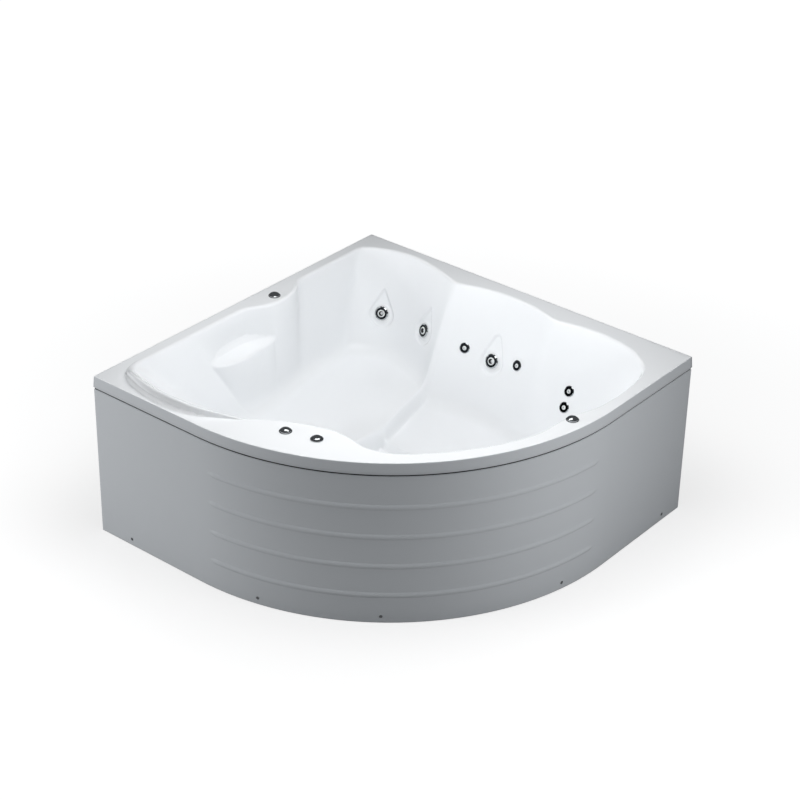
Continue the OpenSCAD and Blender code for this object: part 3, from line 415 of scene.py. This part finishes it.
def local(points, place, n):
    """Coordinates across, up and out of a fitting's plane."""
    ex = unit(np.cross([0, 0, 1.0], n))
    ey = np.cross(n, ex)
    d = points - place
    return d @ ex, d @ ey, d @ n


def egg(x, y, r_low, r_high, height):
    """Distance to the outline of two circles wrapped by one line, negative inside."""
    x = np.abs(x)
    b = (r_low - r_high) / height
    a = np.sqrt(1 - b * b)
    k = -b * x + a * y
    above = np.where(k > a * height, np.hypot(x, y - height) - r_high, x * a + y * b - r_low)
    return np.where(k < 0, np.hypot(x, y) - r_low, above)


def press(points, place, n, weight, depth):
    """Moves points along n to the depth, by their weight, where they are near the plane."""
    x, y, h = local(points, place, n)
    w = weight(x, y) * (np.abs(h) < 0.05)
    return points + n * ((depth - h) * w)[..., None]


def disc(radius, blend):
    """A seat's weight: 1 within the radius, fading to 0 over the blend."""
    return lambda x, y: 1 - smooth((np.hypot(x, y) - radius) / blend)


def teardrop(reach, tip):
    """A recess's weight: 0 at the outline, rising to 1 inside it over the soft edge. The tip's
    circle stands at the height reach over the jet, and the lower circle a drop below the jet."""
    return lambda x, y: smooth(-egg(x, y + BOWL_DROP, BOWL_R, tip, reach + BOWL_DROP) / BOWL_EDGE)


for jet, (reach, tip) in zip(jets, TEARDROPS):
    skin = press(skin, *jet, teardrop(reach, tip), RECESS)
    skin = press(skin, *jet, disc(JET_SEAT, 0.006), SEAT_DEPTH)
for mini in minis:
    skin = press(skin, *mini, disc(MINI_SEAT, 0.012), SEAT_DEPTH)
skin = press(skin, *overflow, disc(OVERFLOW_SEAT, 0.014), SEAT_DEPTH)
print("seats pressed for", len(jets) + len(minis) + 1, "fittings")

# %% [markdown]
# A moulded sheet has a back. It lies one thickness behind the face, along the face's own normal,
# with fewer points, since it is hidden from above. Two fans close the middle, and a band of
# triangles joins the fine grid to the coarse one at the lip.

# %% The shell's underside and the closed mesh
def grid_normals(g):
    """Direction square to the grid at each point, from the differences along both ways."""
    along = np.roll(g, -1, 0) - np.roll(g, 1, 0)
    down = np.empty_like(g)
    down[:, 1:-1] = g[:, 2:] - g[:, :-2]
    down[:, 0], down[:, -1] = g[:, 1] - g[:, 0], g[:, -1] - g[:, -2]
    return unit(np.cross(down, along))


normals = grid_normals(skin)
wall_end = FLOOR_ROWS + FILLET_ROWS + WALL_ROWS
# The back follows these rings of the face and every fourth station.
picked = [1, 5, 9, 13, 17, 20, 23, 27, 30, *range(36, wall_end, 6), wall_end + 2, wall_end + 6]
STEP = 4
LIP_WALL = 0.0035    # the lip's thickness under the rim
take = np.arange(0, N, STEP)
below = skin[take][:, picked] - SHELL * normals[take][:, picked]
rim_a = np.concatenate([base[take][:, :2], np.full((len(take), 1), RIM - SHELL)], 1)[:, None]
rim_b = with_z((out_p - out_n * (FLARE + LIP_WALL))[take], RIM - SHELL)[:, None]
below = np.concatenate([below, rim_a, rim_b], axis=1)[:, ::-1]
M, K = below.shape[:2]
top_centre = np.array([[*MID, floor_z(*MID)]])
points = np.concatenate([skin.reshape(-1, 3), below.reshape(-1, 3),
                         top_centre, top_centre - [0, 0, SHELL]])
centre_a, centre_b = N * R + M * K, N * R + M * K + 1
faces = [tuple(q) for q in grid_quads(N, R, wrap_rows=True)]
faces += [(centre_a, i * R, ((i + 1) % N) * R) for i in range(N)]
faces += [tuple(q) for q in grid_quads(M, K, wrap_rows=True, start=N * R)]
faces += [(centre_b, N * R + ((m + 1) % M) * K + K - 1, N * R + m * K + K - 1) for m in range(M)]
for m in range(M):
    this, then = N * R + m * K, N * R + ((m + 1) % M) * K
    first = m * STEP
    last = N if m == M - 1 else first + STEP
    for i in range(first, last):
        faces.append((i * R + R - 1, this, ((i + 1) % N) * R + R - 1))
    faces.append(((last % N) * R + R - 1, this, then))
shell = make_piece("moulded_shell", points, faces, "tub", ["tub_shell"])
print("shell faces", len(shell.data.polygons))

# %% [markdown]
# The front panel is a thin acrylic sheet bent round the bow, with its ends and its top folded in.
# Four raised beads stiffen it and fade out at both ends. It is a profile carried along a path: the
# rows are heights, and the beads are an added distance out of the path.

# %% The panel
PANEL_T, PANEL_TOP, PANEL_FLOOR, INSET = 0.004, 0.593, 0.002, 0.003
# SHADE_STRIP is the height of the black strip at the panel's top edge, painted shade of the joint.
FLANGE, FOLD, SHADE_STRIP = 0.025, 0.003, 0.004
BEAD_R, BEAD_OUT = 0.0115, 0.0035
BEADS = [0.115 + 0.1175 * k for k in range(4)]
BEAD_FROM, BEAD_TO, BEAD_FADE = -86.5, -4.5, 0.034    # degrees round the bow, and metres
BEAD_THIN = 0.55    # share of its width that a bead keeps where it fades out


def panel_path():
    """Points and outward directions from the left wall's flange round to the back wall's one.
    Each fold is a quarter circle of the fold's radius."""
    a = HALF - INSET
    p, n = [], []

    def line(p0, p1, out, count):
        for f in np.linspace(0, 1, count, endpoint=False):
            p.append(lerp(np.array(p0), np.array(p1), f))
            n.append(out)

    def fold(centre, w0, w1, r, count):
        for w in np.radians(np.linspace(w0, w1, count, endpoint=False)):
            n.append((np.cos(w), np.sin(w)))
            p.append(np.array(centre) + r * np.array(n[-1]))

    line((-a, -a + FLANGE), (-a, -a + FOLD), (-1, 0), 3)
    fold((-a + FOLD, -a + FOLD), 180, 270, FOLD, 6)
    line((-a + FOLD, -a), (BOW_C[0], -a), (0, -1), 40)
    fold(BOW_C, -90, 0, BOW_R - INSET, 264)
    line((a, BOW_C[1]), (a, a - FOLD), (1, 0), 40)
    fold((a - FOLD, a - FOLD), 0, 90, FOLD, 6)
    line((a - FOLD, a), (a - FLANGE, a), (0, 1), 3)
    p.append(np.array((a - FLANGE, a)))
    n.append((0, 1))
    return np.array(p), np.array(n, float)


path_p, path_n = panel_path()
# Heights of the rows: a few at the foot, 21 over each bead, three up to the next, and the top.
rows_z = [PANEL_FLOOR, 0.005] + list(np.linspace(0.02, 0.1, 5))
for z in BEADS:
    rows_z += list(z + np.linspace(-0.0125, 0.0125, 21)) + [z + 0.03, z + 0.06, z + 0.09]
SHEET_TOP = PANEL_TOP - SHADE_STRIP
rows_z = np.array([z for z in rows_z if z < PANEL_TOP - 0.02]
                  + [PANEL_TOP - 0.012, SHEET_TOP - FOLD])
angle = np.degrees(np.arctan2(path_p[:, 1] - BOW_C[1], path_p[:, 0] - BOW_C[0]))
from_end = np.minimum(angle - BEAD_FROM, BEAD_TO - angle) * np.radians(1) * BOW_R
ends = smooth(0.5 + from_end / BEAD_FADE)[:, None]
bead = np.zeros((1, len(rows_z)))
for z in BEADS:
    t = np.abs(rows_z - z)[None, :] / lerp(BEAD_THIN, 1, ends) / BEAD_R
    bead = bead + BEAD_OUT * ends * np.where(t < 1, (1 - t * t) ** 1.3, 0)
front = path_p[:, None, :] + path_n[:, None, :] * bead[..., None]
front = with_z(front, rows_z[None, :])
# Over the top: the fold, the joint's strip, the flange out and back, and down the sheet's back.
tops = []
for w in np.radians([30, 60, 90]):
    z = SHEET_TOP - FOLD * (1 - np.sin(w))
    tops.append(with_z(path_p - path_n * FOLD * (1 - np.cos(w)), z))
tops.append(with_z(path_p - path_n * FOLD, PANEL_TOP))
tops.append(with_z(path_p - path_n * FLANGE, PANEL_TOP))
tops.append(with_z(path_p - path_n * FLANGE, PANEL_TOP - PANEL_T))
tops.append(with_z(path_p - path_n * PANEL_T, PANEL_TOP - PANEL_T))
tops.append(with_z(path_p - path_n * PANEL_T, 0.3))
tops.append(with_z(path_p - path_n * PANEL_T, PANEL_FLOOR))
sheet = np.concatenate([front, np.stack(tops, 1)], axis=1)
C, W = sheet.shape[:2]
points = sheet.reshape(-1, 3)
faces = [tuple(q[::-1]) for q in grid_quads(C, W)]
faces += [(i * W, (i + 1) * W, (i + 1) * W + W - 1, i * W + W - 1)[::-1] for i in range(C - 1)]
faces += [tuple(range(W)), tuple(range((C - 1) * W, C * W))[::-1]]
panel = make_piece("bowed_panel", points, faces, "tub", ["front_panel"])
# Two rows of faces are painted shade of the joint: the strip above the fold and the flange's top.
shade_strip_rows = {len(rows_z) + 2, len(rows_z) + 3}
shade_strip_faces = [k for k in range((C - 1) * (W - 1)) if k % (W - 1) in shade_strip_rows]
print("panel faces", len(panel.data.polygons))

# %% [markdown]
# Acrylic is a clear, hard plastic with the colour in its depth, so its gloss is sharp and weak at a
# straight look and strong at a grazing one. A Principled shader with the usual index of 1.49 gives
# that. The sheet is never quite flat: slow swells, 70 to 80 mm wide, bend its reflections.

# %% Materials
def add(tree, kind, settings=None, links=None):
    """Adds one node with its settings, and links its inputs from other nodes' outputs."""
    node = tree.nodes.new(kind)
    for key, value in (settings or {}).items():
        if isinstance(key, str) and hasattr(node, key) and key not in node.inputs:
            setattr(node, key, value)
        else:
            node.inputs[key].default_value = value
    for key, source in (links or {}).items():
        tree.links.new(source, node.inputs[key])
    return node


def new_material(name):
    """A material with an output and a Principled shader; returns it, its tree and the shader."""
    m = bpy.data.materials.new(name)
    m.use_nodes = True
    tree = m.node_tree
    tree.nodes.clear()
    out = tree.nodes.new("ShaderNodeOutputMaterial")
    shader = tree.nodes.new("ShaderNodeBsdfPrincipled")
    tree.links.new(shader.outputs[0], out.inputs[0])
    return m, tree, shader


def finish(name, colour, rough, ior=None, metallic=0.0, mottle=0.0, mottle_mm=4.0, grain_mm=0.0,
           grain=0.0, vary=0.03):
    """A real finish: a base colour that varies slowly, roughness that varies with it, and a fine
    relief. mottle is how much the colour darkens in patches of mottle_mm, grain the relief's
    height in bumps of grain_mm. A metal gives no ior and keeps the shader's own."""
    m, tree, shader = new_material(name)
    if ior:
        shader.inputs["IOR"].default_value = ior
    shader.inputs["Metallic"].default_value = metallic
    place = add(tree, "ShaderNodeTexCoord")
    patch = add(tree, "ShaderNodeTexNoise",
                {"Scale": 1000 / mottle_mm / 2, "Detail": 3.0, "Roughness": 0.55},
                {"Vector": place.outputs["Object"]})
    light = linear(colour)
    dark = tuple(c * (1 - mottle) for c in light[:3]) + (1.0,)
    mix = add(tree, "ShaderNodeMix", {"data_type": "RGBA"})
    mix.inputs[6].default_value, mix.inputs[7].default_value = dark, light
    tree.links.new(patch.outputs["Fac"], mix.inputs[0])
    tree.links.new(mix.outputs[2], shader.inputs["Base Color"])
    spread = add(tree, "ShaderNodeMapRange",
                 {"From Min": 0.3, "From Max": 0.7,
                  "To Min": max(0.01, rough - vary), "To Max": rough + vary},
                 {"Value": patch.outputs["Fac"]})
    tree.links.new(spread.outputs["Result"], shader.inputs["Roughness"])
    if grain:
        fine = add(tree, "ShaderNodeTexNoise", {"Scale": 1000 / grain_mm / 2, "Detail": 2.0},
                   {"Vector": place.outputs["Object"]})
        bump = add(tree, "ShaderNodeBump", {"Strength": 1.0, "Distance": grain * MM},
                   {"Height": fine.outputs["Fac"]})
        tree.links.new(bump.outputs["Normal"], shader.inputs["Normal"])
    return m


# Cast acrylic sheet drawn over a mould, white to its depth: a sharp, weak gloss that swells slowly.
sanitary_acrylic = finish("sanitary_acrylic", "#f4f6f8", 0.09, ior=1.49, mottle=0.012, mottle_mm=90,
                          grain_mm=70, grain=0.10, vary=0.02)
# The same sheet bent cold round the bow: a little duller, with wider swells, and greyer, which is
# painted shade of its upright faces.
panel_acrylic_painted_shade = finish("panel_acrylic_painted_shade", "#dfe3e7", 0.16, ior=1.49, mottle=0.015, mottle_mm=120,
                       grain_mm=80, grain=0.10, vary=0.03)
# Injection-moulded ABS: the mould's fine etching breaks the gloss into a soft sheen.
white_moulding = finish("white_moulding", "#f0f2f3", 0.18, ior=1.53, mottle=0.02, mottle_mm=8,
                        grain_mm=1.2, grain=0.01)
# Chrome plated on polished plastic: a bright mirror with faint clouds.
chrome_plating = finish("chrome_plating", "#c9cbcd", 0.07, metallic=1.0, mottle=0.03,
                        mottle_mm=12, vary=0.02)
# Chrome on the jets' flat and inner faces painted nearly black: painted dark reflection and shade.
painted_dark_chrome = finish("chrome_with_painted_reflection_and_shade", "#26282b", 0.08, metallic=1.0, mottle=0.05,
                      mottle_mm=12, vary=0.02)
# Powder baked on steel tube: a fine orange peel, drawn at 1.5 mm, and a dull gloss.
frame_coat = finish("grey_powder_coat", "#8f9498", 0.45, ior=1.5, mottle=0.06, mottle_mm=30,
                    grain_mm=1.5, grain=0.05, vary=0.06)
# Zinc plated on studs, nuts and screws: grey metal with cloudy patches of 6 mm.
zinc_plating = finish("zinc_plating", "#a9abad", 0.32, metallic=1.0, mottle=0.15,
                      mottle_mm=6, vary=0.08)
# Moulded nylon filled with glass fibre: black and dull, for the feet. The same black is painted
# shade in the eyes' bores and in the panel's top joint.
black_nylon_and_painted_shade = finish("black_nylon_and_painted_shade", "#1d1e20", 0.5, ior=1.53, mottle=0.15, mottle_mm=6,
                     grain_mm=0.8, grain=0.03, vary=0.06)
# Extruded PVC: a warm off-white with a soft gloss, even all over.
pipe_pvc = finish("white_pvc_pipe", "#e6e5df", 0.34, ior=1.53, mottle=0.03, mottle_mm=40, vary=0.05)
# Moulded polypropylene with talc: near black, with a grain of 1 mm that scatters the light.
pump_moulding = finish("dark_pump_moulding", "#23262a", 0.42, ior=1.52, mottle=0.12, mottle_mm=20,
                       grain_mm=1.0, grain=0.04, vary=0.06)
# Chipboard pressed from flakes of some 5 mm: light and dark wood, rough and without gloss.
pressed_board = finish("pressed_board", "#b08d62", 0.75, ior=1.45, mottle=0.35, mottle_mm=5,
                       grain_mm=2.5, grain=0.25, vary=0.08)
by_slot = {"acrylic": sanitary_acrylic, "panel": panel_acrylic_painted_shade, "white_fittings": white_moulding,
           "chrome": chrome_plating, "frame_paint": frame_coat, "zinc": zinc_plating,
           "foot_plastic": black_nylon_and_painted_shade, "board": pressed_board, "pipe_plastic": pipe_pvc,
           "pump_plastic": pump_moulding}
for part in frame["record"]["subparts"]:
    mesh = nodes[part["node"]].data
    mesh.materials.clear()
    mesh.materials.append(by_slot[part["material_slot"]])


def second_finish(name, material, chosen):
    """Gives the chosen faces of a node's mesh a second material. chosen takes each face's height
    and its normal's parts along the fitting's axis and outward from it."""
    mesh = nodes[name].data
    mesh.materials.append(material)
    centre = np.array([f.center[:] for f in mesh.polygons])
    normal = np.array([f.normal[:] for f in mesh.polygons])
    place, axis = fitting_axis[name]
    height = (centre - place) @ axis
    outward = (unit(centre - place - height[:, None] * axis) * normal).sum(1)
    on = chosen(height, normal @ axis, outward)
    mesh.polygons.foreach_set("material_index", on.astype(int))


fitting_axis = {}
for k in (1, 2, 3):
    fitting_axis.update({f"jet_bezel_{k}": jets[k - 1], f"jet_eye_{k}": jets[k - 1]})
for k in (1, 2, 3, 4):
    fitting_axis.update({f"mini_body_{k}": minis[k - 1], f"mini_eye_{k}": minis[k - 1]})
# An eye's bore is black as painted shade. The flat front of the bezels and of the small jets'
# flanges is dark as a painted reflection, and their inner faces are dark as painted shade.
for name in fitting_axis:
    if "eye" in name:
        second_finish(name, black_nylon_and_painted_shade, lambda height, along, outward: outward < -0.3)
    else:
        second_finish(name, painted_dark_chrome, lambda height, along, outward:
                      ((along > 0.99) & (height > height.max() - 0.0003)) | (outward < -0.3))
# The lip takes the panel's finish, greyer by painted shade, and the joint on the panel's top edge
# is a black strip of painted shade.
shell.data.materials.append(sanitary_acrylic)
shell.data.materials.append(panel_acrylic_painted_shade)
# The lip's faces get the panel's acrylic, whose grey is painted shade.
lip_painted_shade_faces = np.zeros(len(shell.data.polygons), int)
lip_painted_shade_faces[:N * (R - 1)].reshape(N, R - 1)[:, LIP_FROM:] = 1
shell.data.polygons.foreach_set("material_index", lip_painted_shade_faces)
panel.data.materials.append(panel_acrylic_painted_shade)
panel.data.materials.append(black_nylon_and_painted_shade)
for k in shade_strip_faces:
    panel.data.polygons[k].material_index = 1
print("slots with a finish", len(by_slot))

# %% [markdown]
# The picture is a studio cut-out: the background is plain white and the light is wide and soft. The
# floor is pale and keeps the tub's soft shadow. The camera stands where the photograph's did, which
# was solved from the rim, the beads and the knobs.

# %% Floor, light and camera
def plain_floor():
    """A square of 24 m a side in studio paper. For the camera it also glows: with 0.72 of the full
    strength at the tub, where its soft shadow stays, and in full from three metres on."""
    s = 12.0
    mesh = bpy.data.meshes.new("studio_floor")
    mesh.from_pydata([(-s, -s, 0), (s, -s, 0), (s, s, 0), (-s, s, 0)], [], [(0, 1, 2, 3)])
    floor = bpy.data.objects.new("studio_floor", mesh)
    bpy.context.scene.collection.objects.link(floor)
    m, tree, shader = new_material("studio_paper")
    shader.inputs["Base Color"].default_value = linear("#a8a8a8")
    shader.inputs["Roughness"].default_value = 0.9
    path = add(tree, "ShaderNodeLightPath")
    place = add(tree, "ShaderNodeTexCoord")
    away = add(tree, "ShaderNodeVectorMath", {"operation": "LENGTH"}, {0: place.outputs["Object"]})
    lift = add(tree, "ShaderNodeMapRange",
               {"From Min": 1.0, "From Max": 3.0, "To Min": 0.72, "To Max": 1.0},
               {"Value": away.outputs["Value"]})
    lift = add(tree, "ShaderNodeMath", {"operation": "MULTIPLY"},
               {0: path.outputs["Is Camera Ray"], 1: lift.outputs["Result"]})
    tree.links.new(lift.outputs[0], shader.inputs["Emission Strength"])
    shader.inputs["Emission Color"].default_value = (1, 1, 1, 1)
    mesh.materials.append(m)


plain_floor()
world = bpy.data.worlds.new("studio")
bpy.context.scene.world = world
world.use_nodes = True
tree = world.node_tree
tree.nodes.clear()
path = add(tree, "ShaderNodeLightPath")
soft = add(tree, "ShaderNodeBackground", {"Color": linear("#e8edf2"), "Strength": 0.12})
white = add(tree, "ShaderNodeBackground", {"Color": (1, 1, 1, 1), "Strength": 1.0})
mix = add(tree, "ShaderNodeMixShader", {},
          {0: path.outputs["Is Camera Ray"], 1: soft.outputs[0], 2: white.outputs[0]})
add(tree, "ShaderNodeOutputWorld", {}, {0: mix.outputs[0]})


def softbox(name, place, aim, size, power, mirrored=False):
    """A white rectangular lamp at a place, turned to face the aim. Only a mirrored one shows in
    gloss: the others light the surfaces, and no reflection shows them."""
    lamp = bpy.data.lights.new(name, "AREA")
    lamp.shape, lamp.size, lamp.size_y = "RECTANGLE", *size
    lamp.energy = power
    obj = bpy.data.objects.new(name, lamp)
    bpy.context.scene.collection.objects.link(obj)
    obj.location = place
    obj.visible_camera = False
    obj.visible_glossy = mirrored
    obj.rotation_euler = (Vector(aim) - Vector(place)).to_track_quat("-Z", "Y").to_euler()


# The strip, the one lamp that the chrome mirrors, hangs 15 cm below the overhead lamp.
softbox("overhead", (0.15, -0.2, 2.1), (0, 0, 0.3), (1.3, 1.3), 21.5)
softbox("strip", (0.15, -0.2, 1.95), (0, 0, 0.3), (1.3, 0.6), 5.6, mirrored=True)
softbox("left_wall", (-2.3, -3.3, 1.1), (-0.2, -0.4, 0.35), (1.6, 1.6), 52)
softbox("right_wall", (2.1, 0.0, 0.95), (0.6, 0.0, 0.35), (0.8, 0.8), 9.5)
camera_data = bpy.data.cameras.new("photo_view")
camera = bpy.data.objects.new("photo_view", camera_data)
bpy.context.scene.collection.objects.link(camera)
bpy.context.scene.camera = camera
# The camera's turn, elevation and roll in radians, its place in metres and its lens in
# millimetres are that solution's values.
az, el, roll = 0.6799, 0.5311, 0.0197
stand, lens = (4.1380, -5.0961, 4.3586), 96.83
right = np.array([np.cos(az), np.sin(az), 0])
back = np.array([np.sin(az) * np.cos(el), -np.cos(az) * np.cos(el), np.sin(el)])
up = np.cross(back, right)
cam_x = np.cos(roll) * right + np.sin(roll) * up
cam_y = np.cross(back, cam_x)
axes = [(*cam_x, 0), (*cam_y, 0), (*back, 0)]
camera.matrix_world = Matrix([*axes, (*stand, 1)]).transposed()
camera_data.lens, camera_data.sensor_width = lens, 36.0
camera_data.clip_end = 100
bpy.context.scene.view_settings.view_transform = "Standard"
print("camera at", tuple(round(c, 3) for c in camera.location))
